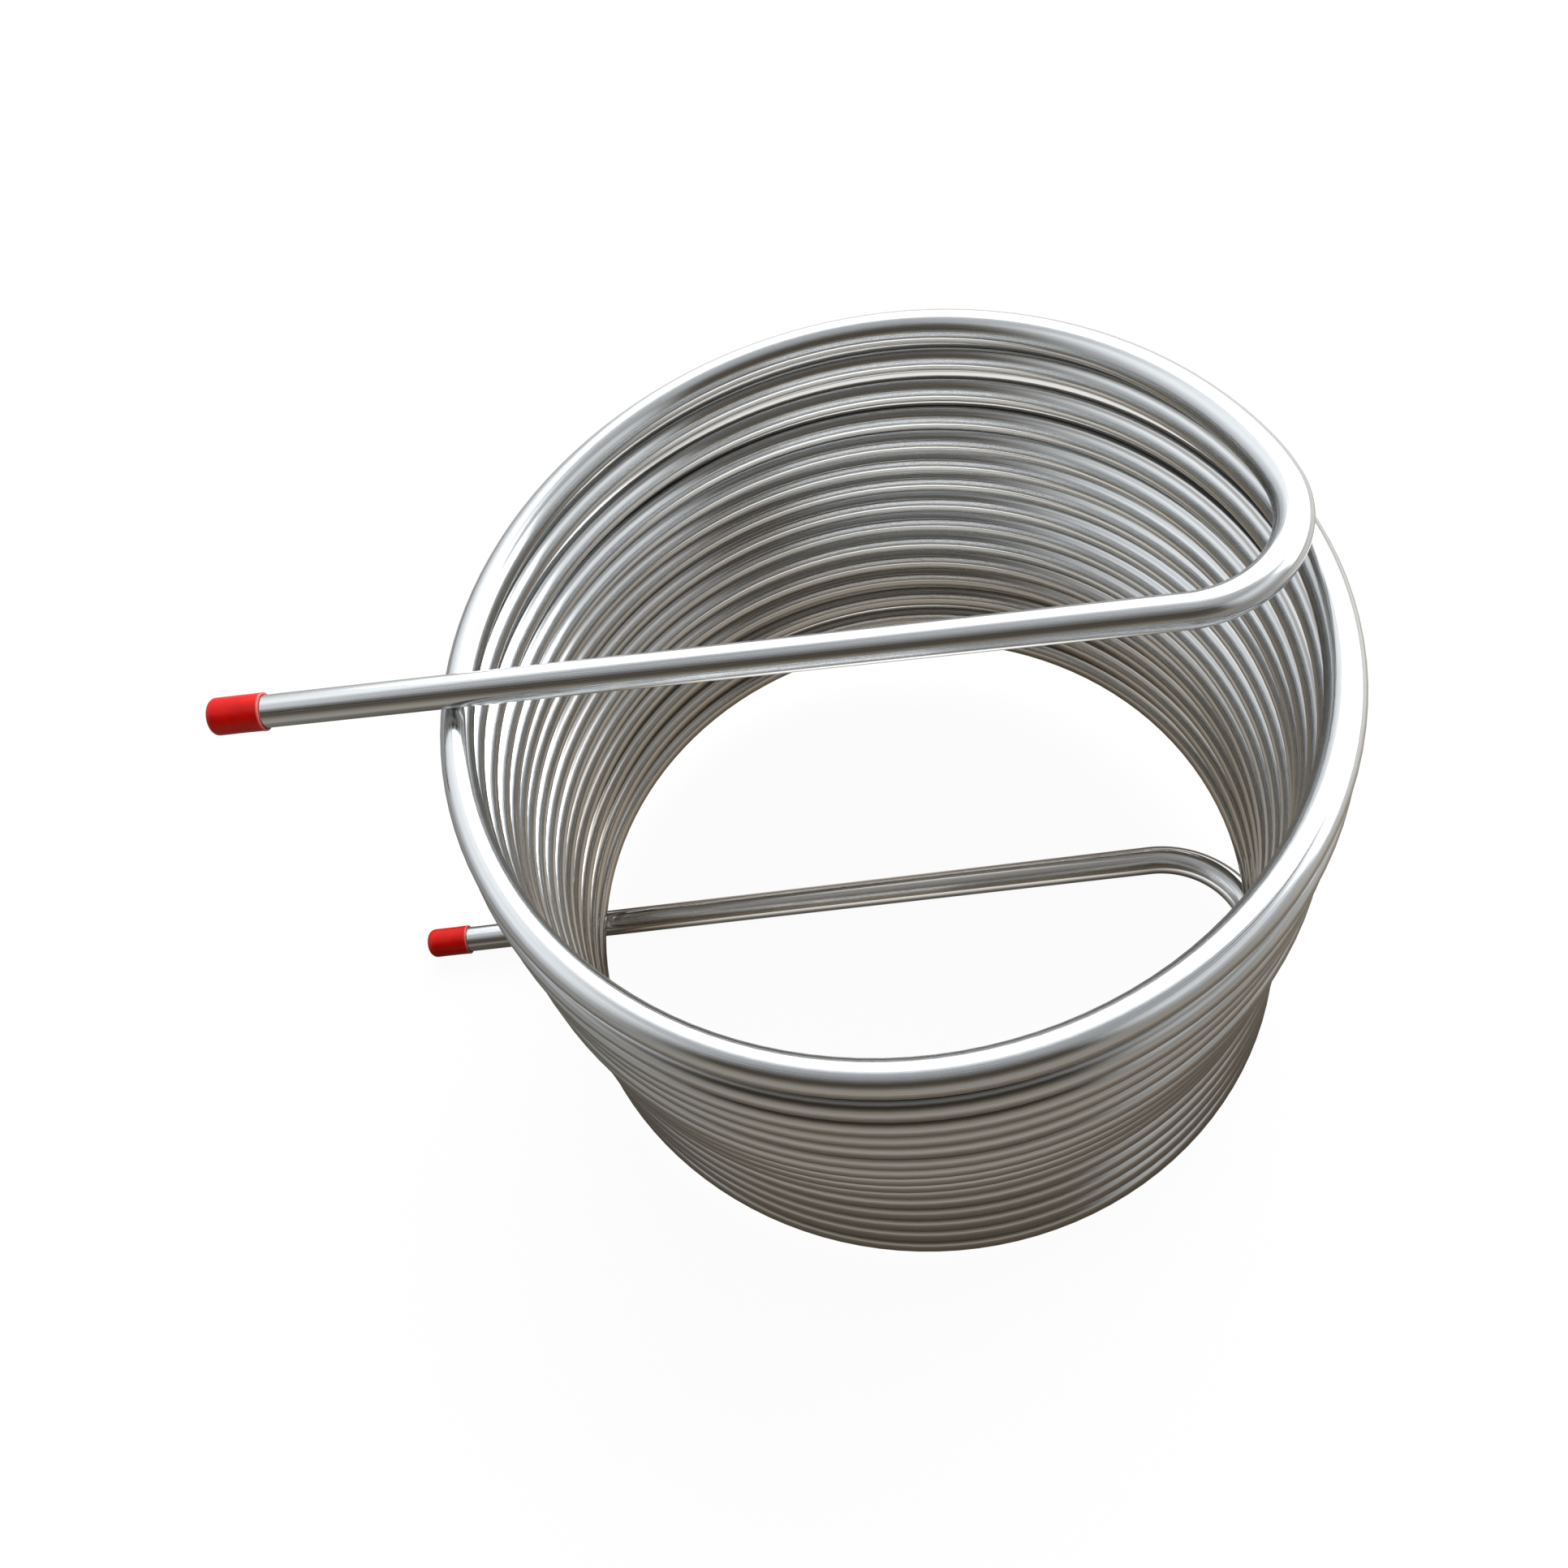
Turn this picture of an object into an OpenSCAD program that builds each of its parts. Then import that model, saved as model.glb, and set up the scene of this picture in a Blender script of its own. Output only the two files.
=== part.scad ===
// Immersion wort chiller: one metal tube wound into an open coil, with both
// ends led out to one side as straight legs, and a push-on cap on each end.
// The coil stands on +Z. The legs run along X, and their capped ends point to -X.
// The origin is the middle of the bounding box at its lowest point.

/* [Tube] */
// outside diameter of the metal tube
tube_od = 12.7; // [10:0.1:13]
// wall thickness of the metal tube
tube_wall = 0.9; // [0.6:0.1:1.2]
// width of the broken outer edge at each cut end of the tube
end_chamfer = 0.25; // [0.1:0.05:0.4]

/* [Coil] */
// whole turns from the upper bend to the lower bend
turns = 15; // [8:1:18]
// free space under the first turn, at the top
gap_top = 1.2; // [0.6:0.02:4]
// free space where the upper turns are pulled furthest apart
gap_upper = 6.54; // [2:0.02:8]
// free space between the tightly wound turns in the middle
gap_tight = 0.34; // [0.3:0.02:1.4]
// free space where the lower turns are pulled furthest apart
gap_lower = 5.11; // [2:0.01:7]
// centre-line radius of the first turn at the top
radius_top = 150.2; // [146:0.1:154]
// centre-line radius where the upper part of the coil swells out
radius_upper = 153.77; // [148:0.01:158]
// centre-line radius at the slight waist below the middle
radius_waist = 150.07; // [146:0.01:156]
// centre-line radius of the last turn at the bottom
radius_bottom = 152.85; // [148:0.01:157]
// how far each turn creeps sideways from the one above it
turn_creep = 0.15; // [0:0.01:0.3]
// angle of the coil's first joint round from the leg direction
start_angle = 13.873; // [10:0.001:18]

/* [Upper leg] */
// centre-line radius of the upper bend
upper_bend_radius = 39.5; // [35:0.1:44]
// angle turned by the upper bend
upper_bend_angle = 103.911; // [102:0.001:106]
// centre-line radius of the tighter stretch between the coil and the upper bend
lead_radius = 88.1; // [80:0.1:110]
// angle turned by that tighter stretch
lead_angle = 9.886; // [6:0.001:16]
// roll of the upper bend that lifts the leg over the first turn
upper_lift = 2.61; // [2.4:0.001:4]
// straight length of the upper leg up to the cut end of the tube
upper_leg = 348.5; // [280:0.1:420]

/* [Lower leg] */
// angle by which the last half turn stops short of a full half turn
last_arc = 145.407; // [142:0.001:148]
// centre-line radius of the short stretch between the coil and the lower bend
tail_radius = 157.1; // [140:0.1:165]
// angle turned by that short stretch
tail_angle = 9.932; // [6:0.001:13]
// centre-line radius of the lower bend
lower_bend_radius = 38.4; // [35:0.1:43]
// angle turned by the lower bend
lower_bend_angle = 102.733; // [101:0.001:104]
// roll of the lower bend that drops the leg below the last turn
lower_drop = 2.456; // [2.4:0.001:4]
// straight length of the lower leg up to the cut end of the tube
lower_leg = 355; // [300:0.1:440]

/* [Caps] */
// wall thickness of the push-on caps
cap_wall = 0.95; // [0.7:0.05:1.5]
// outside length of a cap
cap_length = 22.6; // [16:0.1:30]
// thickness of a cap's closed end
cap_end = 1.5; // [1:0.1:2.5]
// outer rounding of a cap's closed end
cap_round = 3; // [1:0.1:4]
// running clearance between the tube and a cap's bore, on the radius
cap_clear = 0.05; // [0.02:0.01:0.1]
// space between the tube's cut end and the inside of a cap's closed end
cap_end_gap = 0.4; // [0.3:0.1:2]

/* [Hidden] */

$fn = 48;
ro = tube_od / 2;
ri = ro - tube_wall;
halves = 2 * turns;
cap_bore = ro + cap_clear;
cap_r = cap_bore + cap_wall;
cap_depth = cap_length - cap_end;
cap_in_round = min(0.6, cap_end_gap + end_chamfer);

// How far down the coil half turn j is, from 0 at the top to 15 at the bottom.
function down(j) = (j + 0.5) / halves * 15;
upper_fall = radius_upper - radius_waist;
lower_rise = radius_bottom - radius_waist;
function creep(j) = (j % 2 == 0 ? 0.5 : -0.5) * turn_creep
    * lookup(down(j), [[0, 0.65], [4, 1.09], [8, 0.91], [12, -0.46], [15, 0.55]]);
// Centre-line radius of half turn j, rounded so that twice it is a short number.
function arc_r(j) = round(100 * (creep(j) + lookup(down(j), [
    [0, radius_top],
    [1, radius_top + 0.75 * (radius_upper - radius_top)],
    [2, radius_upper],
    [3, radius_upper - 0.15 * upper_fall],
    [4, radius_upper - 0.3 * upper_fall],
    [5, radius_upper - 0.275 * upper_fall],
    [6, radius_upper - 0.05 * upper_fall],
    [8, radius_upper - 0.555 * upper_fall],
    [10, radius_waist],
    [12, radius_waist + 0.34 * lower_rise],
    [13.5, radius_waist + 0.49 * lower_rise],
    [15, radius_bottom]]))) / 100;
// Rise of one whole turn, at half turn j.
function pitch(j) = tube_od + lookup(down(j), [
    [0, gap_top],
    [1, gap_upper],
    [2, gap_tight + 0.82 * (gap_upper - gap_tight)],
    [3, gap_tight + 0.248 * (gap_upper - gap_tight)],
    [4, gap_tight],
    [10, gap_tight],
    [12, gap_lower],
    [15, gap_tight + 0.806 * (gap_lower - gap_tight)]]);

// Each half turn is a plane half circle, tipped about its own end tangent so
// that it falls by half a pitch. dip(j) is how far half turn j is tipped.
function dip(j) = asin(pitch(j) / (4 * arc_r(j)));
function snap(a) = let (c = round(1e6 * cos(a)) / 1e6) acos(c);
function tip(j) = snap(dip(j - 1) + dip(j));

// The nearest angle whose cosine and sine are both six-figure numbers, so that
// one stretch of tube ends exactly where the next one starts.
function neat(a) = let (
    k = round(1e6 * cos(a)),
    t = [for (d = [-200:200]) let (c = (k + d) / 1e6, s = round(1e6 * sqrt(1 - c * c)) / 1e6) [abs(c * c + s * s - 1), c, s]],
    low = min([for (q = t) q[0]]),
    best = [for (q = t) if (q[0] == low) q][0]) atan2(best[2], best[1]);
lead_a = neat(lead_angle);
tail_a = neat(tail_angle);
last_a = neat(last_arc);
upper_a = neat(upper_bend_angle);
lower_a = neat(lower_bend_angle);
lift_a = snap(upper_lift);
drop_a = snap(lower_drop);

// 4 x 4 matrices, for finding where the two legs end up.
function mt(v) = [[1, 0, 0, v[0]], [0, 1, 0, v[1]], [0, 0, 1, v[2]], [0, 0, 0, 1]];
function mx(a) = [[1, 0, 0, 0], [0, cos(a), -sin(a), 0], [0, sin(a), cos(a), 0], [0, 0, 0, 1]];
function my(a) = [[cos(a), 0, sin(a), 0], [0, 1, 0, 0], [-sin(a), 0, cos(a), 0], [0, 0, 0, 1]];
function mz(a) = [[cos(a), -sin(a), 0, 0], [sin(a), cos(a), 0, 0], [0, 0, 1, 0], [0, 0, 0, 1]];
function bow(r, a) = mt([-r, 0, 0]) * mz(a) * mt([r, 0, 0]);
function col(m, i) = [m[0][i], m[1][i], m[2][i]];

// Frame at the end of the first half turn, opposite the bends: the tube heads
// along the frame's +Y and its centre of curvature is on the frame's -X.
root = mz(start_angle) * mt([radius_top, 0, 0]) * my(-dip(0)) * bow(arc_r(0), 180);
function coil_frame(j) = j == 1
    ? root * my(-tip(1))
    : coil_frame(j - 1) * bow(arc_r(j - 1), 180) * my(-tip(j));
last = coil_frame(halves - 1);
lower_bend_frame = last * bow(arc_r(halves - 1), last_a) * bow(tail_radius, tail_a) * my(-drop_a);
lower_leg_frame = lower_bend_frame * bow(lower_bend_radius, lower_a);
upper_bend_frame = root * mx(180) * bow(arc_r(0), 180 - lead_a) * bow(lead_radius, lead_a) * my(-lift_a);
upper_leg_frame = upper_bend_frame * bow(upper_bend_radius, upper_a);

// Overall box, for placing the origin.
function on_arc(m, r, a) = col(m * bow(r, a), 3);
reach = [
    for (j = [1:halves - 1]) let (m = coil_frame(j)) for (a = [0:2.5:(j == halves - 1 ? last_a : 180)]) on_arc(m, arc_r(j), a),
    for (a = [0:2.5:180 - lead_a]) on_arc(root * mx(180), arc_r(0), a)];
function cap_seat(leg) = leg + cap_end_gap - cap_depth;
function cap_core(m, leg) = col(m * mt([0, cap_seat(leg) + cap_length - cap_round, 0]), 3);
upper_core = cap_core(upper_leg_frame, upper_leg);
lower_core = cap_core(lower_leg_frame, lower_leg);
function cap_reach(d, i) = (cap_r - cap_round) * sqrt(1 - d[i] * d[i]) + cap_round;
upper_dir = col(upper_leg_frame, 1);
lower_dir = col(lower_leg_frame, 1);
x_hi = max([for (p = reach) p[0]]) + ro;
x_lo = min(upper_core[0] - cap_reach(upper_dir, 0), lower_core[0] - cap_reach(lower_dir, 0));
y_hi = max([for (p = reach) p[1]]) + ro;
y_lo = min([for (p = reach) p[1]]) - ro;
z_lo = lower_core[2] - cap_reach(lower_dir, 2);
z_hi = upper_core[2] + cap_reach(upper_dir, 2);
shift = [-(x_lo + x_hi) / 2, -(y_lo + y_hi) / 2, -z_lo];

// A stretch of tube bent through a at radius r, heading +Y from the origin.
module arc(r, a) {
    translate([-r, 0, 0]) rotate_extrude(angle = a) translate([r, 0]) difference() {
        circle(r = ro);
        circle(r = ri);
    }
}
// What follows a bend of a at radius r.
module after(r, a) {
    translate([-r, 0, 0]) rotate([0, 0, a]) translate([r, 0, 0]) children();
}
// The same stretch cut off square where the next one starts.
module part_arc(r, a) {
    difference() {
        arc(r, a + 2);
        after(r, a) translate([-20, 0, -20]) cube([40, 30, 40]);
    }
}
// A straight stretch of tube along +Y, with its cut end deburred.
module leg(l) {
    rotate([-90, 0, 0]) rotate_extrude() polygon([
        [ri, 0], [ro, 0], [ro, l - end_chamfer], [ro - end_chamfer, l],
        [ri + 0.15, l], [ri, l - 0.15]]);
}
module lower_end() {
    part_arc(tail_radius, tail_a);
    after(tail_radius, tail_a) rotate([0, -drop_a, 0]) {
        part_arc(lower_bend_radius, lower_a);
        after(lower_bend_radius, lower_a) leg(lower_leg);
    }
}
module coil_from(j) {
    if (j == halves - 1) {
        part_arc(arc_r(j), last_a);
        after(arc_r(j), last_a) lower_end();
    } else {
        arc(arc_r(j), 180);
        translate([-2 * arc_r(j), 0, 0]) rotate([0, 0, 180]) rotate([0, -tip(j + 1), 0]) coil_from(j + 1);
    }
}
module upper_end() {
    part_arc(arc_r(0), 180 - lead_a);
    after(arc_r(0), 180 - lead_a) {
        part_arc(lead_radius, lead_a);
        after(lead_radius, lead_a) rotate([0, -lift_a, 0]) {
            part_arc(upper_bend_radius, upper_a);
            after(upper_bend_radius, upper_a) leg(upper_leg);
        }
    }
}
module chiller_tube() {
    color("silver") multmatrix(mt(shift) * root) {
        rotate([180, 0, 0]) upper_end();
        rotate([0, -tip(1), 0]) coil_from(1);
    }
}

// Half section of a cap: mouth at the bottom, closed end at the top.
module cap_section() {
    difference() {
        union() {
            square([cap_r - cap_round, cap_length]);
            square([cap_r, cap_length - cap_round]);
            translate([cap_r - cap_round, cap_length - cap_round]) circle(r = cap_round);
        }
        union() {
            translate([0, -1]) square([cap_bore - cap_in_round, cap_depth + 1]);
            translate([0, -1]) square([cap_bore, cap_depth - cap_in_round + 1]);
            translate([cap_bore - cap_in_round, cap_depth - cap_in_round]) circle(r = cap_in_round);
        }
    }
}
module cap(m, l) {
    multmatrix(mt(shift) * m) translate([0, cap_seat(l), 0]) rotate([-90, 0, 0]) rotate_extrude() cap_section();
}
module upper_cap() { color("red") cap(upper_leg_frame, upper_leg); }
module lower_cap() { color("red") cap(lower_leg_frame, lower_leg); }

chiller_tube();
upper_cap();
lower_cap();
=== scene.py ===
import math

import bpy
import numpy as np
from mathutils import Matrix


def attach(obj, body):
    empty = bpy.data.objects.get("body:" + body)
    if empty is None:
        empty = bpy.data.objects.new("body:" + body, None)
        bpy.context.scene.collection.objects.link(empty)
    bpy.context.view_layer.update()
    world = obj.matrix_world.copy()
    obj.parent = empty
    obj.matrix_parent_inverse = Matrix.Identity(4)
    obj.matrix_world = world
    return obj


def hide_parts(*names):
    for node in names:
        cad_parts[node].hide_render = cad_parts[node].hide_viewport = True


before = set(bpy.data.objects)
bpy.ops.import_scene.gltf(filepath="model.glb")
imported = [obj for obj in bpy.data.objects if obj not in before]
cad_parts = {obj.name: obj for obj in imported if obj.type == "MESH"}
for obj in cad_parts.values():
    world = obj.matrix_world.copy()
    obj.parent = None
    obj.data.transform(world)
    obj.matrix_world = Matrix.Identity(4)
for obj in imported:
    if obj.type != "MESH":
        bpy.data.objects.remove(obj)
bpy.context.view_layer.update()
scene = bpy.context.scene

# ---------------------------------------------------------------- camera
CAM_AT = (0.07247, -0.296035, 0.670497)
CAM_TURN = ((0.96225542, 0.09407872, 0.25536974),
            (0.04001094, 0.87924783, -0.47468134),
            (-0.2691907, 0.46698227, 0.84229681))
cam_data = bpy.data.cameras.new("camera")
cam_data.sensor_fit = "HORIZONTAL"
cam_data.sensor_width = 36.0
cam_data.lens = 33.791
cam_data.shift_x = 0.134614
cam_data.shift_y = 0.015507
cam_data.clip_start = 0.01
cam_data.clip_end = 60.0
cam = bpy.data.objects.new("camera", cam_data)
scene.collection.objects.link(cam)
turn = Matrix(CAM_TURN).to_4x4()
turn.translation = CAM_AT
cam.matrix_world = turn
scene.camera = cam

# ---------------------------------------------------------------- the tube's course, in mm
RO, RI = 6.35, 5.45
RADII = [150.92, 152.15, 153.16, 153.48, 153.7, 153.28, 153.15, 152.72, 152.76, 152.65,
         153.04, 153.3, 153.43, 152.81, 152.49, 151.88, 151.57, 151.05, 150.72, 150.25,
         150.2, 150.43, 150.65, 150.93, 151.06, 151.24, 151.36, 151.66, 152.16, 152.58]
PITCH = [15.235, 17.905, 18.961, 18.403, 17.2374, 15.4642, 14.1932, 13.4244] + [13.04] * 12 + [
    13.6362, 14.8287, 16.0212, 17.2137, 17.7329, 17.5787, 17.4244, 17.2702, 17.116, 16.9617]
SHIFT = (44.2015, 0.0079, 239.9459)
START = 13.873
TOP_R = 150.2
LEAD = (88.1, 9.93902)
LIFT, UPPER_BEND, UPPER_LEG = 2.60954, (39.5, 103.91251), 348.5
LAST, TAIL = 145.42065, (157.1, 9.93902)
DROP, LOWER_BEND, LOWER_LEG = 2.45657, (38.4, 102.73969), 355.0


def mt(x, y, z):
    m = np.eye(4)
    m[:3, 3] = (x, y, z)
    return m


def turn_about(axis, a):
    c, s = math.cos(math.radians(a)), math.sin(math.radians(a))
    m = np.eye(4)
    i, j = {"x": (1, 2), "y": (2, 0), "z": (0, 1)}[axis]
    m[i, i] = m[j, j] = c
    m[i, j], m[j, i] = -s, s
    return m


def bow(r, a):
    return mt(-r, 0, 0) @ turn_about("z", a) @ mt(r, 0, 0)


def dip(j):
    return math.degrees(math.asin(PITCH[j] / (4 * RADII[j])))


class Course:
    """Points along the tube's centre line, with the distance run so far."""

    def __init__(self, m):
        self.m = m
        self.p, self.t = [m[:3, 3]], [m[:3, 1]]

    def roll(self, a):
        self.m = self.m @ turn_about("y", a)

    def arc(self, r, a, step):
        n = max(2, int(math.ceil(a / step)))
        for k in range(1, n + 1):
            q = self.m @ bow(r, a * k / n)
            self.p.append(q[:3, 3])
            self.t.append(q[:3, 1])
        self.m = self.m @ bow(r, a)

    def straight(self, length, n):
        for k in range(1, n + 1):
            self.p.append(self.m[:3, 3] + self.m[:3, 1] * length * k / n)
            self.t.append(self.m[:3, 1])
        self.m = self.m @ mt(0, length, 0)


ROOT = mt(*SHIFT) @ turn_about("z", START) @ mt(TOP_R, 0, 0) @ turn_about("y", -dip(0)) @ bow(RADII[0], 180)


def course(step, bend_step, leg_n):
    up = Course(ROOT @ turn_about("x", 180))
    up.arc(RADII[0], 180 - LEAD[1], step)
    up.arc(LEAD[0], LEAD[1], step)
    up.roll(-LIFT)
    up.arc(UPPER_BEND[0], UPPER_BEND[1], bend_step)
    upper_leg = up.m.copy()
    up.straight(UPPER_LEG, leg_n)
    down = Course(ROOT)
    for j in range(1, 30):
        down.roll(-(dip(j - 1) + dip(j)))
        down.arc(RADII[j], 180 if j < 29 else LAST, step)
    down.arc(TAIL[0], TAIL[1], step)
    down.roll(-DROP)
    down.arc(LOWER_BEND[0], LOWER_BEND[1], bend_step)
    lower_leg = down.m.copy()
    down.straight(LOWER_LEG, leg_n)
    p = np.array(up.p[::-1][:-1] + down.p)
    t = np.array([-v for v in up.t[::-1][:-1]] + down.t)
    s = np.concatenate([[0], np.cumsum(np.linalg.norm(np.diff(p, axis=0), axis=1))])
    return p, t, s, upper_leg, lower_leg, s[len(up.p) - 1]


def rings(p, t, r, seg):
    """Circles of radius r round each point, square to the tube, with the same clock angle all the way."""
    up = np.array([0, 0, 1.0])
    u = up[None] - (t @ up)[:, None] * t
    u /= np.linalg.norm(u, axis=1, keepdims=True)
    side = np.cross(t, u)
    a = np.arange(seg) * 2 * math.pi / seg
    r = np.broadcast_to(np.asarray(r, float).reshape(-1, 1), (len(p), 1))
    c = p[:, None] + r[..., None] * (np.cos(a)[None, :, None] * side[:, None] + np.sin(a)[None, :, None] * u[:, None])
    return c, a


def join_rings(v, first, n_rings, seg, flip=False):
    f = []
    for i in range(n_rings - 1):
        a, b = first + i * seg, first + (i + 1) * seg
        for k in range(seg):
            k2 = (k + 1) % seg
            q = (a + k, b + k, b + k2, a + k2)
            f.append(q[::-1] if flip else q)
    return f


# ---------------------------------------------------------------- material helpers
def new_material(name):
    m = bpy.data.materials.new(name)
    m.use_nodes = True
    nt = m.node_tree
    nt.nodes.clear()
    out = nt.nodes.new("ShaderNodeOutputMaterial")
    bsdf = nt.nodes.new("ShaderNodeBsdfPrincipled")
    nt.links.new(bsdf.outputs["BSDF"], out.inputs["Surface"])
    return m, nt, bsdf


def add(nt, kind, **inputs):
    n = nt.nodes.new(kind)
    for k, v in inputs.items():
        if k.startswith("_"):
            setattr(n, k[1:], v)
        else:
            n.inputs[k].default_value = v
    return n


def math_node(nt, op, a, b=None, c=None, clamp=False):
    n = nt.nodes.new("ShaderNodeMath")
    n.operation = op
    n.use_clamp = clamp
    for i, v in enumerate((a, b, c)):
        if v is None:
            continue
        if isinstance(v, (int, float)):
            n.inputs[i].default_value = v
        else:
            nt.links.new(v, n.inputs[i])
    return n.outputs[0]


def ramp(nt, fac, stops, interp="LINEAR"):
    n = nt.nodes.new("ShaderNodeValToRGB")
    n.color_ramp.interpolation = interp
    e = n.color_ramp.elements
    while len(e) > 1:
        e.remove(e[-1])
    for k, (pos, col) in enumerate(stops):
        el = e[0] if k == 0 else e.new(pos)
        el.position = pos
        el.color = (*col, 1.0) if len(col) == 3 else col
    nt.links.new(fac, n.inputs["Fac"])
    return n.outputs["Color"]


def steel_material():
    """Drawn stainless tube: fine lines along it, faint cloudiness, a few rubbed patches; painted shade where turns
    meet, painted warm shade and painted brightening inside the coil.
    """
    m, nt, bsdf = new_material("steel_drawn")
    attr = add(nt, "ShaderNodeAttribute", _attribute_name="run", _attribute_type="GEOMETRY")
    sep = add(nt, "ShaderNodeSeparateXYZ")
    nt.links.new(attr.outputs["Vector"], sep.inputs[0])

    def stretched(around, along):
        c = add(nt, "ShaderNodeCombineXYZ")
        nt.links.new(math_node(nt, "MULTIPLY", sep.outputs[0], around), c.inputs[0])
        nt.links.new(math_node(nt, "MULTIPLY", sep.outputs[1], around), c.inputs[1])
        nt.links.new(math_node(nt, "MULTIPLY", sep.outputs[2], along), c.inputs[2])
        return c.outputs[0]

    def noise(vec, scale, detail, rough=0.5):
        n = add(nt, "ShaderNodeTexNoise", Scale=scale, Detail=detail, Roughness=rough)
        nt.links.new(vec, n.inputs["Vector"])
        return n.outputs["Fac"]

    fine = noise(stretched(14.0, 2.0), 1.0, 2.0, 0.5)
    broad = noise(stretched(3.2, 1.2), 1.0, 2.0, 0.5)
    hair = noise(stretched(70.0, 1.5), 1.0, 0.0, 0.5)
    cloud = noise(stretched(1.2, 6.0), 1.0, 3.0, 0.5)
    scuff = noise(stretched(5.0, 40.0), 1.0, 4.0, 0.6)

    tone = math_node(nt, "ADD", math_node(nt, "MULTIPLY", fine, 0.35), math_node(nt, "MULTIPLY", broad, 0.65))
    col = ramp(nt, tone, [(0.30, (0.515, 0.53, 0.54)), (0.50, (0.595, 0.612, 0.623)), (0.72, (0.67, 0.685, 0.692))])
    near = add(nt, "ShaderNodeAttribute", _attribute_name="near", _attribute_type="GEOMETRY")
    beside = add(nt, "ShaderNodeSeparateXYZ")
    nt.links.new(near.outputs["Vector"], beside.inputs[0])

    def band(v, lo, hi, top):
        n = nt.nodes.new("ShaderNodeMapRange")
        n.interpolation_type = "SMOOTHSTEP"
        n.inputs["From Min"].default_value = lo
        n.inputs["From Max"].default_value = hi
        n.inputs["To Max"].default_value = top
        nt.links.new(v, n.inputs["Value"])
        return n.outputs["Result"]

    # painted shade in the crevices where turns meet: darker on the upper side where a turn lies above (x) and on the
    # lower side where one lies below (y), with a lighter strip left near the top contact
    shade_gap = math_node(nt, "MULTIPLY", band(sep.outputs[1], 0.84, 0.89, 0.6),
                       math_node(nt, "SUBTRACT", 1.0, band(sep.outputs[1], 0.91, 0.96, 1.0)))
    shade_above = math_node(nt, "MULTIPLY", band(sep.outputs[1], 0.70, 0.82, 0.42), math_node(nt, "SUBTRACT", 1.0, shade_gap))
    shade_above = math_node(nt, "MULTIPLY", shade_above, beside.outputs[0])
    shade_below = math_node(nt, "MULTIPLY", band(math_node(nt, "MULTIPLY", sep.outputs[1], -1.0), 0.30, 0.80, 0.28), beside.outputs[1])
    crevice_shade_mask = math_node(nt, "ADD", shade_above, shade_below, clamp=True)
    # mix towards the dark painted shade colour
    shade = nt.nodes.new("ShaderNodeMix")
    shade.data_type = "RGBA"
    nt.links.new(crevice_shade_mask, shade.inputs[0])
    nt.links.new(col, shade.inputs[6])
    shade.inputs[7].default_value = (0.14, 0.125, 0.105, 1.0)
    # painted shade line on the tops of the turns that stand apart below the open top turn, darkening the highlight
    # there
    crest_shade = nt.nodes.new("ShaderNodeMix")
    crest_shade.data_type = "RGBA"
    apart = math_node(nt, "MULTIPLY", math_node(nt, "SUBTRACT", beside.outputs[0], 1.0, clamp=True), 1.25, clamp=True)
    nt.links.new(math_node(nt, "MULTIPLY", band(sep.outputs[1], 0.90, 0.96, 0.82), apart), crest_shade.inputs[0])
    nt.links.new(shade.outputs[2], crest_shade.inputs[6])
    crest_shade.inputs[7].default_value = (0.115, 0.112, 0.107, 1.0)
    # painted warm shade (a painted reflection of shaded brown floor) on the lower leg and the insides of the lower
    # turns, painted brightening inside the upper ones
    warm_shade = nt.nodes.new("ShaderNodeMix")
    warm_shade.data_type = "RGBA"
    nt.links.new(beside.outputs[2], warm_shade.inputs[0])
    brightening = nt.nodes.new("ShaderNodeMix")
    brightening.data_type = "RGBA"
    nt.links.new(math_node(nt, "MULTIPLY", beside.outputs[2], -1.0, clamp=True), brightening.inputs[0])
    brightening.inputs[6].default_value = (1.0, 1.0, 1.0, 1.0)
    brightening.inputs[7].default_value = (1.20, 1.205, 1.21, 1.0)
    nt.links.new(brightening.outputs[2], warm_shade.inputs[6])
    warm_shade.inputs[7].default_value = (0.62, 0.565, 0.505, 1.0)
    tinted = nt.nodes.new("ShaderNodeMix")
    tinted.data_type = "RGBA"
    tinted.blend_type = "MULTIPLY"
    tinted.inputs[0].default_value = 1.0
    nt.links.new(crest_shade.outputs[2], tinted.inputs[6])
    nt.links.new(warm_shade.outputs[2], tinted.inputs[7])
    nt.links.new(tinted.outputs[2], bsdf.inputs["Base Color"])
    drawn = math_node(nt, "MULTIPLY", math_node(nt, "SUBTRACT", hair, 0.50), 6.0, clamp=True)
    rough = math_node(nt, "ADD", math_node(nt, "MULTIPLY", cloud, 0.05), math_node(nt, "MULTIPLY", fine, 0.07))
    rubbed = math_node(nt, "MULTIPLY", math_node(nt, "SUBTRACT", scuff, 0.62, clamp=True), 0.6)
    rough = math_node(nt, "ADD", math_node(nt, "ADD", rough, 0.03), rubbed)
    rough = math_node(nt, "MULTIPLY_ADD", drawn, 0.24, rough, clamp=True)
    nt.links.new(rough, bsdf.inputs["Roughness"])
    lines = math_node(nt, "ADD", math_node(nt, "MULTIPLY", fine, 0.3), math_node(nt, "MULTIPLY", broad, 1.2))
    bump = add(nt, "ShaderNodeBump", Strength=0.12, Distance=0.00010)
    nt.links.new(lines, bump.inputs["Height"])
    nt.links.new(bump.outputs["Normal"], bsdf.inputs["Normal"])
    bsdf.inputs["Metallic"].default_value = 1.0
    return m


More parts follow.
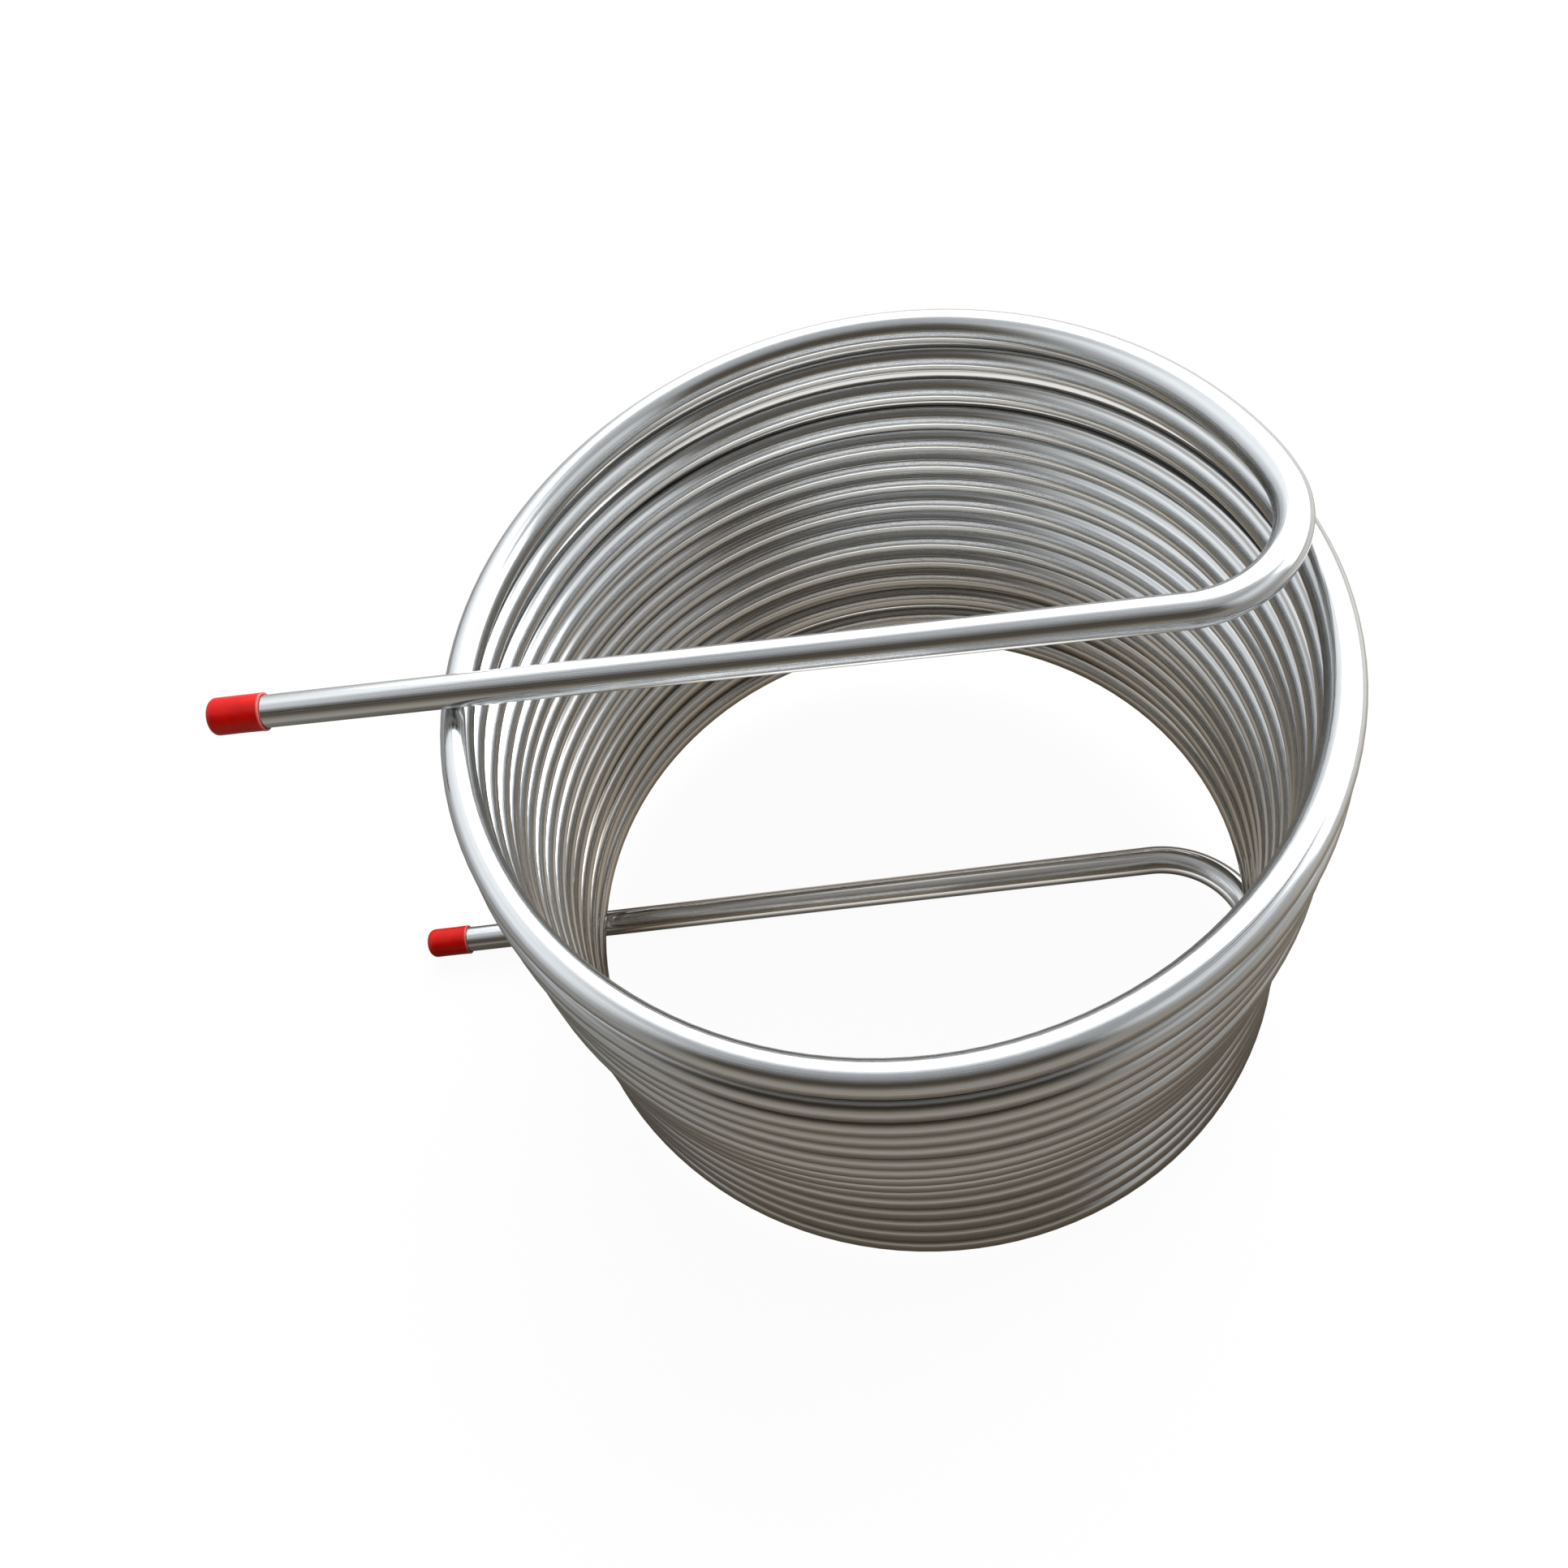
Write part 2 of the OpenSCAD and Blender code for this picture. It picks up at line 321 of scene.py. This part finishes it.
def vinyl_material():
    """Glossy soft red vinyl: dipped, with faint ripples, tiny pits and slightly cloudy colour."""
    m, nt, bsdf = new_material("vinyl_red")
    co = add(nt, "ShaderNodeTexCoord")
    n1 = add(nt, "ShaderNodeTexNoise", Scale=140.0, Detail=3.0, Roughness=0.5)
    n2 = add(nt, "ShaderNodeTexNoise", Scale=1900.0, Detail=2.0, Roughness=0.5)
    for n in (n1, n2):
        nt.links.new(co.outputs["Object"], n.inputs["Vector"])
    col = ramp(nt, n1.outputs["Fac"], [(0.3, (0.45, 0.003, 0.002)), (0.5, (0.52, 0.004, 0.002)), (0.7, (0.58, 0.006, 0.003))])
    # painted highlight: paler at the cut of the mouth; rubbed here and there
    near = add(nt, "ShaderNodeAttribute", _attribute_name="near", _attribute_type="GEOMETRY")
    place = add(nt, "ShaderNodeSeparateXYZ")
    nt.links.new(near.outputs["Vector"], place.inputs[0])
    mouth = nt.nodes.new("ShaderNodeMapRange")
    mouth.interpolation_type = "SMOOTHSTEP"
    mouth.inputs["From Min"].default_value = 1.0
    mouth.inputs["From Max"].default_value = 0.3
    mouth.inputs["To Max"].default_value = 0.35
    nt.links.new(place.outputs[0], mouth.inputs["Value"])
    n3 = add(nt, "ShaderNodeTexNoise", Scale=330.0, Detail=4.0, Roughness=0.7)
    nt.links.new(co.outputs["Object"], n3.inputs["Vector"])
    scuff = math_node(nt, "MULTIPLY", math_node(nt, "SUBTRACT", n3.outputs["Fac"], 0.69, clamp=True), 5.0, clamp=True)
    # the painted highlight at the mouth and the rubbed specks share the pale colour
    pale = math_node(nt, "MAXIMUM", mouth.outputs["Result"], math_node(nt, "MULTIPLY", scuff, 0.6))
    skin = nt.nodes.new("ShaderNodeMix")
    skin.data_type = "RGBA"
    nt.links.new(pale, skin.inputs[0])
    nt.links.new(col, skin.inputs[6])
    skin.inputs[7].default_value = (0.90, 0.40, 0.36, 1.0)
    nt.links.new(skin.outputs[2], bsdf.inputs["Base Color"])
    rough = math_node(nt, "ADD", math_node(nt, "MULTIPLY", n2.outputs["Fac"], 0.08), math_node(nt, "MULTIPLY", n1.outputs["Fac"], 0.14))
    rough = math_node(nt, "ADD", rough, 0.10)
    nt.links.new(rough, bsdf.inputs["Roughness"])
    h = math_node(nt, "ADD", n1.outputs["Fac"], math_node(nt, "MULTIPLY", n2.outputs["Fac"], 0.10))
    bump = add(nt, "ShaderNodeBump", Strength=0.16, Distance=0.00020)
    nt.links.new(h, bump.inputs["Height"])
    nt.links.new(bump.outputs["Normal"], bsdf.inputs["Normal"])
    bsdf.inputs["Subsurface Weight"].default_value = 0.03
    bsdf.inputs["Subsurface Radius"].default_value = (0.0025, 0.0006, 0.0004)
    bsdf.inputs["Subsurface Scale"].default_value = 1.0
    bsdf.inputs["Specular IOR Level"].default_value = 0.12
    bsdf.inputs["Coat Weight"].default_value = 0.12
    bsdf.inputs["Coat Roughness"].default_value = 0.04
    return m


STEEL = steel_material()
VINYL = vinyl_material()


def make_mesh(name, verts, faces, material, run=None, near=None):
    me = bpy.data.meshes.new(name)
    me.from_pydata([tuple(v) for v in np.asarray(verts) / 1000.0], [], faces)
    me.validate()
    me.polygons.foreach_set("use_smooth", [True] * len(me.polygons))
    for key, val in (("run", run), ("near", near)):
        if val is not None:
            at = me.attributes.new(key, "FLOAT_VECTOR", "POINT")
            at.data.foreach_set("vector", np.asarray(val, np.float32).ravel())
    me.materials.append(material)
    ob = bpy.data.objects.new(name, me)
    scene.collection.objects.link(ob)
    return ob


# ---------------------------------------------------------------- the tube
SEG = 36
p, t, s, UPPER, LOWER, s_root = course(3.0, 1.5, 16)
CH = 0.25
# straight ends: pull the last rings back by the chamfer and add the turned-in rim
p[0] += t[0] * CH
p[-1] -= t[-1] * CH
s[0] += CH
s[-1] -= CH
outer, ang = rings(p, t, RO, SEG)
ip, it, isd, _, _, _ = course(9.0, 6.0, 6)
ip[0] += it[0] * 0.15
ip[-1] -= it[-1] * 0.15
inner, _ = rings(ip, it, RI, SEG)


def end_rings(m, length, sign):
    """Two flat rings of the cut end: inner edge and outer edge."""
    e = (m @ mt(0, length, 0))[:3, 3]
    d = m[:3, 1] * sign
    a, _ = rings(e[None], d[None], RI + 0.15, SEG)
    b, _ = rings(e[None], d[None], RO - CH, SEG)
    return a, b


a_in, a_out = end_rings(UPPER, UPPER_LEG, -1)
b_in, b_out = end_rings(LOWER, LOWER_LEG, 1)
stack = np.concatenate([a_in, a_out, outer, b_out, b_in, inner[::-1]])
n_ring = len(stack)
verts = stack.reshape(-1, 3)
faces = join_rings(verts, 0, n_ring, SEG)
for k in range(SEG):
    k2 = (k + 1) % SEG
    last = (n_ring - 1) * SEG
    faces.append((last + k, k, k2, last + k2))
along = np.concatenate([[s[0]] * 2, s, [s[-1]] * 2, isd[::-1]]) / 1000.0
run = np.zeros((n_ring, SEG, 3))
run[..., 0] = np.cos(ang)[None]
run[..., 1] = np.sin(ang)[None]
run[..., 2] = along[:, None]


def ease(v, lo, hi):
    v = np.clip((v - lo) / (hi - lo), 0.0, 1.0)
    return v * v * (3 - 2 * v)


# where a turn lies above (x) and below (y) this place on the tube, for the painted shade lines where turns meet
mm = along * 1000.0
half = math.pi * 151.5
near = np.zeros((n_ring, SEG, 3))
near[..., 0] = (ease(mm, s_root + 0.85 * half, s_root + 1.1 * half)
                * (1.8 - 0.8 * ease(mm, s_root + 6.0 * half, s_root + 7.5 * half))
                * (1 - ease(mm, s_root + 28.7 * half, s_root + 29.0 * half)))[:, None]
near[..., 1] = (ease(mm, s_root - 0.9 * half, s_root - 0.75 * half)
                * (1 - ease(mm, s_root + 27.6 * half, s_root + 28.0 * half)))[:, None]
mid = stack.mean(axis=1)
out_x, out_y = mid[:, 0] - SHIFT[0], mid[:, 1]
dist = np.maximum(np.hypot(out_x, out_y), 1.0)
outward = ((stack[..., 0] - mid[:, None, 0]) * (out_x / dist)[:, None]
           + (stack[..., 1] - mid[:, None, 1]) * (out_y / dist)[:, None]) / RO
# less painted shade above the contacts on the left side of the coil
near[..., 0] *= (1 - 0.85 * ease(-out_x / dist, 0.5, 0.86))[:, None]
# z: where the painted warm shade goes (positive: lower turns, back corner and lower leg, inner faces) and where the
# painted brightening goes (negative: inner faces of the upper turns)
in_coil = 1 - ease(mm, s[-1] - LOWER_LEG - 110, s[-1] - LOWER_LEG - 60)
leg = ease(mm, s[-1] - LOWER_LEG - 60, s[-1] - LOWER_LEG + 20) * ease(mid[:, 0], -112, -92)
low = ease(mm, s_root + 10 * half, s_root + 24 * half) * in_coil
high = ease(mm, s_root + 0.85 * half, s_root + 1.1 * half) * (1 - ease(mm, s_root + 12 * half, s_root + 22 * half))
corner = ease((out_y - out_x) / dist / math.sqrt(2), 0.55, 0.95) * ease(mm, s_root + 5 * half, s_root + 11 * half) * in_coil
near[..., 2] = (np.maximum(low, 0.6 * corner) - high * (1 - corner))[:, None] * ease(-outward, -0.3, 0.4) + 0.9 * leg[:, None]
# more painted shade below the contacts on the left side of the coil
near[..., 1] *= (1 + 1.2 * ease(-out_x / dist, 0.2, 0.7))[:, None]
tube = make_mesh("steel_tube", verts, faces, STEEL, run.reshape(-1, 3), near.reshape(-1, 3))


# ---------------------------------------------------------------- the caps
def cap_profile(round_r, crown, bead):
    """(radius, height) from the inside of the closed end round the mouth to the middle of the outside."""
    bore, wall, length, end = 6.40, 0.95, 22.6, 1.5
    top = length - end
    out = bore + wall
    ir = 0.6
    pts = [(0.0, top)]
    for k in range(0, 9):
        a = math.pi / 2 * (1 - k / 8)
        pts.append((bore - ir + ir * math.cos(a), top - ir + ir * math.sin(a)))
    pts += [(bore, h) for h in (16.0, 12.0, 8.0, 4.0, 1.2)]
    pts += [(bore, 0.45), (bore + 0.10, 0.15), (bore + 0.30, 0.02), (bore + 0.50, 0.0), (out - 0.22, 0.04),
            (out + bead * 0.6, 0.20), (out + bead, 0.50), (out + bead, 0.85), (out + bead * 0.5, 1.35), (out, 2.1)]
    pts += [(out - 0.02, h) for h in (4.0, 7.0, 10.0, 13.0)] + [(out, 16.0)]
    base = length - round_r
    for k in range(0, 13):
        a = math.pi / 2 * k / 12
        pts.append((out - round_r + round_r * math.cos(a), base + (round_r - crown) * math.sin(a)))
    flat = out - round_r
    for f in (0.75, 0.5, 0.25, 0.0):
        pts.append((flat * f, length - crown * f * f))
    return pts


def make_cap(name, leg, length, round_r, crown, bead, seed):
    m = leg @ mt(0, length + 0.4 - 21.1, 0)
    prof = cap_profile(round_r, crown, bead)
    seg = 96
    rng = np.random.default_rng(seed)
    ph = rng.uniform(0, 2 * math.pi, 6)
    verts, rows, faces, height = [], [], [], []
    for (r, h) in prof:
        height += [(h, 0.0, 0.0)] * (1 if r < 1e-9 else seg)
        if r < 1e-9:
            rows.append([len(verts)])
            verts.append((m @ np.array([0, h, 0, 1.0]))[:3])
            continue
        row = []
        for k in range(seg):
            a = 2 * math.pi * k / seg
            rr = r
            if r > 6.6 and h > 1.0:      # dipped skin: slightly uneven, more so towards the closed end
                w = min(1.0, (h - 1.0) / 6.0)
                rr -= 0.028 * w * (1 + math.sin(3 * a + ph[0] + 0.25 * h)) / 2
                rr -= 0.022 * w * (1 + math.sin(5 * a + ph[1] - 0.4 * h)) / 2
                rr -= 0.015 * w * (1 + math.sin(2 * a + ph[2] + 0.8 * h)) / 2
            row.append(len(verts))
            verts.append((m @ np.array([rr * math.cos(a), h, -rr * math.sin(a), 1.0]))[:3])
        rows.append(row)
    for A, B in zip(rows[:-1], rows[1:]):
        for k in range(seg):
            k2 = (k + 1) % seg
            if len(A) == 1:
                faces.append((A[0], B[k2], B[k]))
            elif len(B) == 1:
                faces.append((A[k], A[k2], B[0]))
            else:
                faces.append((A[k], A[k2], B[k2], B[k]))
    return make_mesh(name, verts, faces, VINYL, near=height)


cap_u = make_cap("vinyl_cap_upper", UPPER, UPPER_LEG, 3.0, 0.12, 0.10, 3)
cap_l = make_cap("vinyl_cap_lower", LOWER, LOWER_LEG, 4.4, 0.35, 0.10, 8)

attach(tube, "chiller")
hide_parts("chiller_tube")
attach(cap_u, "upper_cap")
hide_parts("upper_cap")
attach(cap_l, "lower_cap")
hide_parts("lower_cap")

# ---------------------------------------------------------------- floor, world, lights
def stage_plane(name, z, albedo, glow):
    me = bpy.data.meshes.new(name)
    me.from_pydata([(-9, -9, z), (9, -9, z), (9, 9, z), (-9, 9, z)], [], [(0, 1, 2, 3)])
    ob = bpy.data.objects.new(name, me)
    scene.collection.objects.link(ob)
    m, _, b = new_material(name)
    b.inputs["Base Color"].default_value = (*albedo, 1)
    b.inputs["Roughness"].default_value = 0.9
    b.inputs["Specular IOR Level"].default_value = 0.0
    b.inputs["Emission Color"].default_value = (1, 1, 1, 1)
    b.inputs["Emission Strength"].default_value = glow
    me.materials.append(m)
    return ob


# the pale floor that is seen, and a hidden glowing bench with painted light and shade that the metal picks up
pale = stage_plane("floor_pale", -0.0005, (0.05, 0.05, 0.05), 0.945)
pale.visible_glossy = False
pale.visible_diffuse = False
pale.visible_shadow = False
bench = stage_plane("floor_bench", -0.0012, (0.02, 0.02, 0.02), 1.0)
bench.visible_camera = False
WINDOW = 4.5


def bench_glow():
    """Painted light on the hidden glowing bench: bright inside the coil, a painted shadow close in front of it,
    rising with distance, brightest at the back, with painted shade near the wall and a painted shadow under the lower
    leg.
    """
    nt = bench.data.materials[0].node_tree
    bsdf = [n for n in nt.nodes if n.type == "BSDF_PRINCIPLED"][0]
    co = add(nt, "ShaderNodeTexCoord")
    sep = add(nt, "ShaderNodeSeparateXYZ")
    nt.links.new(co.outputs["Object"], sep.inputs[0])
    x = math_node(nt, "SUBTRACT", sep.outputs[0], 0.0442)
    y = sep.outputs[1]
    r = math_node(nt, "SQRT", math_node(nt, "ADD", math_node(nt, "MULTIPLY", x, x), math_node(nt, "MULTIPLY", y, y)))
    away = math_node(nt, "DIVIDE", math_node(nt, "SUBTRACT", r, 0.16), 2.0, clamp=True)
    # painted shadow of the coil close round it, brighter further away
    open_floor = ramp(nt, away, [(0.0, (0.085, 0.064, 0.044)), (0.05, (0.145, 0.115, 0.084)), (0.145, (0.28, 0.24, 0.195)),
                                 (0.21, (0.44, 0.39, 0.335)), (0.75, (0.40, 0.36, 0.32)), (1.0, (0.34, 0.32, 0.30))])

    def side(az, lo, hi, top):
        a = math.radians(az)
        c = math_node(nt, "DIVIDE", math_node(nt, "ADD", math_node(nt, "MULTIPLY", x, math.sin(a)),
                                              math_node(nt, "MULTIPLY", y, math.cos(a))),
                      math_node(nt, "MAXIMUM", r, 0.001))
        n = nt.nodes.new("ShaderNodeMapRange")
        n.interpolation_type = "SMOOTHSTEP"
        n.inputs["From Min"].default_value = lo
        n.inputs["From Max"].default_value = hi
        n.inputs["To Max"].default_value = top
        nt.links.new(c, n.inputs["Value"])
        return n.outputs["Result"]

    def mix(fac, a, b):
        n = nt.nodes.new("ShaderNodeMix")
        n.data_type = "RGBA"
        nt.links.new(fac, n.inputs[0])
        for i, v in ((6, a), (7, b)):
            if isinstance(v, tuple):
                n.inputs[i].default_value = (*v, 1.0)
            else:
                nt.links.new(v, n.inputs[i])
        return n.outputs[2]

    # painted light: the bench brighter towards the window at the back, slightly dimmer and cooler towards the left
    back = side(20, -0.3, 0.8, 1.0)
    side_light = mix(back, (1.0, 1.0, 1.0), (2.3, 2.5, 2.7))
    side_light = mix(side(-85, 0.3, 0.95, 1.0), side_light, (0.86, 0.95, 1.04))
    scaled = nt.nodes.new("ShaderNodeMix")
    scaled.data_type = "RGBA"
    scaled.blend_type = "MULTIPLY"
    scaled.inputs[0].default_value = 1.0
    nt.links.new(open_floor, scaled.inputs[6])
    nt.links.new(side_light, scaled.inputs[7])
    # painted pool of window light on the front part of the inner floor, falling to a painted shadow of the back wall
    # towards the back
    down = math_node(nt, "MULTIPLY_ADD", y, 1 / 0.30, 0.5, clamp=True)
    inner = ramp(nt, down, [(0.0, (1.45, 1.45, 1.44)), (0.20, (1.85, 1.87, 1.88)), (0.37, (1.75, 1.76, 1.76)),
                            (0.50, (1.15, 1.12, 1.08)), (0.61, (0.92, 0.88, 0.82)), (0.70, (0.70, 0.66, 0.60)),
                            (0.80, (0.56, 0.52, 0.46)), (1.0, (0.48, 0.44, 0.39))])
    # painted shade towards the right and the back of the inner floor
    shade = math_node(nt, "MULTIPLY_ADD", math_node(nt, "ADD", math_node(nt, "MULTIPLY", x, 0.8), math_node(nt, "MULTIPLY", y, 0.6)),
                      -8.0, 1.35, clamp=True)
    shade = math_node(nt, "MAXIMUM", shade, 0.5)
    # painted shade, darker and browner close to the coil's wall
    rim = nt.nodes.new("ShaderNodeMapRange")
    rim.interpolation_type = "SMOOTHSTEP"
    rim.inputs["From Min"].default_value = 0.095
    rim.inputs["From Max"].default_value = 0.138
    nt.links.new(r, rim.inputs["Value"])
    wall_shade = mix(rim.outputs["Result"], (1.0, 1.0, 1.0), (0.50, 0.42, 0.34))
    # painted shadow of the lower leg on the inner floor
    off = math_node(nt, "ABSOLUTE", math_node(nt, "ADD", math_node(nt, "MULTIPLY", x, -0.035), math_node(nt, "SUBTRACT", y, 0.0055)))
    leg_shadow = nt.nodes.new("ShaderNodeMapRange")
    leg_shadow.interpolation_type = "SMOOTHSTEP"
    leg_shadow.inputs["From Min"].default_value = 0.004
    leg_shadow.inputs["From Max"].default_value = 0.034
    leg_shadow.inputs["To Min"].default_value = 0.16
    nt.links.new(off, leg_shadow.inputs["Value"])
    dim = nt.nodes.new("ShaderNodeMix")
    dim.data_type = "RGBA"
    dim.blend_type = "MULTIPLY"
    dim.inputs[0].default_value = 1.0
    nt.links.new(inner, dim.inputs[6])
    nt.links.new(math_node(nt, "MULTIPLY", shade, leg_shadow.outputs["Result"]), dim.inputs[7])
    dim2 = nt.nodes.new("ShaderNodeMix")
    dim2.data_type = "RGBA"
    dim2.blend_type = "MULTIPLY"
    dim2.inputs[0].default_value = 1.0
    nt.links.new(dim.outputs[2], dim2.inputs[6])
    nt.links.new(wall_shade, dim2.inputs[7])
    inner = dim2.outputs[2]
    mask = nt.nodes.new("ShaderNodeMapRange")
    mask.inputs["From Min"].default_value = 0.150
    mask.inputs["From Max"].default_value = 0.138
    nt.links.new(r, mask.inputs["Value"])
    both = mix(mask.outputs["Result"], scaled.outputs[2], inner)
    nt.links.new(both, bsdf.inputs["Emission Color"])


bench_glow()

world = bpy.data.worlds.new("studio")
scene.world = world
world.use_nodes = True
wt = world.node_tree
wt.nodes.clear()
wout = wt.nodes.new("ShaderNodeOutputWorld")
bg = wt.nodes.new("ShaderNodeBackground")
wt.links.new(bg.outputs[0], wout.inputs["Surface"])
tc = wt.nodes.new("ShaderNodeTexCoord")
sx = wt.nodes.new("ShaderNodeSeparateXYZ")
wt.links.new(tc.outputs["Generated"], sx.inputs[0])
dx, dy, dz = sx.outputs
el = math_node(wt, "ARCSINE", dz)                                  # -pi/2 .. pi/2
el01 = math_node(wt, "MULTIPLY_ADD", el, 1 / math.pi, 0.5)
flat = math_node(wt, "MAXIMUM", math_node(wt, "SQRT", math_node(
    wt, "ADD", math_node(wt, "MULTIPLY", dx, dx), math_node(wt, "MULTIPLY", dy, dy))), 0.001)


def at(deg):
    return deg / 180.0 + 0.5


def toward(az, lo, hi):
    """1 round the compass direction az (degrees from +Y toward +X), easing to 0 between the cosines hi and lo."""
    a = math.radians(az)
    c = math_node(wt, "DIVIDE", math_node(wt, "ADD", math_node(wt, "MULTIPLY", dx, math.sin(a)),
                                          math_node(wt, "MULTIPLY", dy, math.cos(a))), flat)
    n = wt.nodes.new("ShaderNodeMapRange")
    n.interpolation_type = "SMOOTHSTEP"
    n.inputs["From Min"].default_value = lo
    n.inputs["From Max"].default_value = hi
    wt.links.new(c, n.inputs["Value"])
    return n.outputs["Result"]


def blend(fac, a, b):
    n = wt.nodes.new("ShaderNodeMix")
    n.data_type = "RGBA"
    wt.links.new(fac, n.inputs[0])
    wt.links.new(a, n.inputs[6])
    wt.links.new(b, n.inputs[7])
    return n.outputs[2]


ZENITH = (0.45, 0.465, 0.48)
front = ramp(wt, el01, [
    (at(-90), (0.20, 0.18, 0.15)),
    (at(-12), (0.34, 0.30, 0.25)),
    (at(2), (0.30, 0.265, 0.215)),
    (at(14), (0.155, 0.132, 0.104)),
    (at(26), (0.082, 0.068, 0.051)),
    (at(42), (0.080, 0.068, 0.054)),
    (at(55), (0.16, 0.152, 0.142)),
    (at(68), (0.32, 0.32, 0.325)),
    (at(80), (0.43, 0.44, 0.455)),
    (at(90), ZENITH)])
right = ramp(wt, el01, [
    (at(-90), (0.35, 0.345, 0.34)),
    (at(2), (0.42, 0.415, 0.41)),
    (at(14), (0.52, 0.52, 0.52)),
    (at(24), (0.80, 0.81, 0.82)),
    (at(38), (0.82, 0.83, 0.84)),
    (at(50), (0.42, 0.42, 0.42)),
    (at(76), (0.46, 0.47, 0.48)),
    (at(90), ZENITH)])
left = ramp(wt, el01, [
    (at(-90), (0.30, 0.32, 0.35)),
    (at(-12), (0.375, 0.385, 0.40)),
    (at(4), (0.515, 0.53, 0.55)),
    (at(20), (0.80, 0.82, 0.85)),
    (at(36), (1.14, 1.16, 1.18)),
    (at(59), (1.12, 1.14, 1.16)),
    (at(70), (0.56, 0.57, 0.585)),
    (at(80), (0.45, 0.46, 0.475)),
    (at(90), ZENITH)])
window = ramp(wt, el01, [
    (at(-90), (0.8, 0.8, 0.8)),
    (at(-10), (1.3, 1.3, 1.3)),
    (at(2), (1.5, 1.5, 1.5)),
    (at(15), (1.7, 1.7, 1.72)),
    (at(27), (WINDOW, WINDOW, WINDOW * 1.01)),
    (at(52), (WINDOW, WINDOW, WINDOW * 1.01)),
    (at(60), (1.9, 1.92, 1.95)),
    (at(72), (0.72, 0.73, 0.75)),
    (at(83), (0.50, 0.51, 0.525)),
    (at(90), ZENITH)])
side_window = ramp(wt, el01, [
    (at(-90), (0.4, 0.4, 0.4)),
    (at(-10), (0.85, 0.85, 0.85)),
    (at(1), (1.5, 1.5, 1.5)),
    (at(7), (2.4, 2.42, 2.45)),
    (at(36), (2.4, 2.42, 2.45)),
    (at(44), (0.85, 0.86, 0.88)),
    (at(53), (0.40, 0.40, 0.41)),
    (at(70), (0.44, 0.45, 0.46)),
    (at(90), ZENITH)])
sky = blend(toward(-62, 0.10, 0.95), front, left)
sky = blend(toward(106, 0.74, 0.95), sky, right)
sky = blend(toward(66, 0.83, 0.93), sky, side_window)
sky = blend(toward(24, 0.64, 0.80), sky, window)
wt.links.new(sky, bg.inputs["Color"])
bg.inputs["Strength"].default_value = 1.2

scene.view_settings.view_transform = "Standard"
scene.view_settings.look = "None"
scene.view_settings.exposure = 0.0
scene.view_settings.gamma = 1.0
